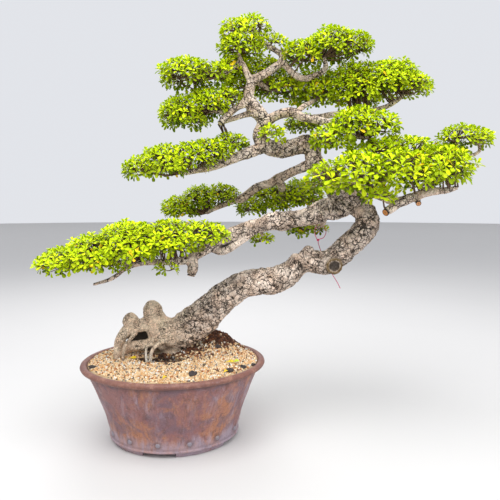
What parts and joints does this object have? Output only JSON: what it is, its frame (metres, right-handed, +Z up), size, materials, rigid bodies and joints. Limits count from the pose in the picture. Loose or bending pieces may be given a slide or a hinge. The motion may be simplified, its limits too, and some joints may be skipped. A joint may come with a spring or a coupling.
{
  "type": "potted bonsai tree",
  "caption": "Slanting bonsai tree with a bent rough-barked trunk and flat pads of small leaves, rooted in grit in an oval stoneware pot on short feet.",
  "frame": {"origin": "on the surface the pot stands on, under the middle of the whole tree's bounding box", "axes": "+Z up, +X to the right along the pot's length towards the heavy right-hand branch, +Y to the back; the tree's display front faces -Y"},
  "size_m": [0.8758, 0.3546, 0.8464],
  "materials": {
    "stoneware": "satin",
    "black_plastic": "matte",
    "potting_grit": "matte",
    "bark": "matte",
    "pink_string": "satin",
    "leaf": "satin"
  },
  "bodies": {
    "root": {"pot": "stoneware", "drain_screen_left": "black_plastic", "drain_screen_right": "black_plastic", "soil": "potting_grit", "trunk_and_branches": "bark", "tie_string": "pink_string", "foliage_lower_left": "leaf", "foliage_right": "leaf", "foliage_right_tip": "leaf", "foliage_mid_right": "leaf", "foliage_crown_back": "leaf", "foliage_upper_right": "leaf", "foliage_apex": "leaf", "foliage_apex_small": "leaf", "foliage_upper_left": "leaf", "foliage_second_left": "leaf", "foliage_left": "leaf", "foliage_front": "leaf", "foliage_inner": "leaf", "foliage_mid_left": "leaf", "foliage_mid_inner": "leaf", "foliage_loop": "leaf", "foliage_under": "leaf"}
  },
  "joints": []
}
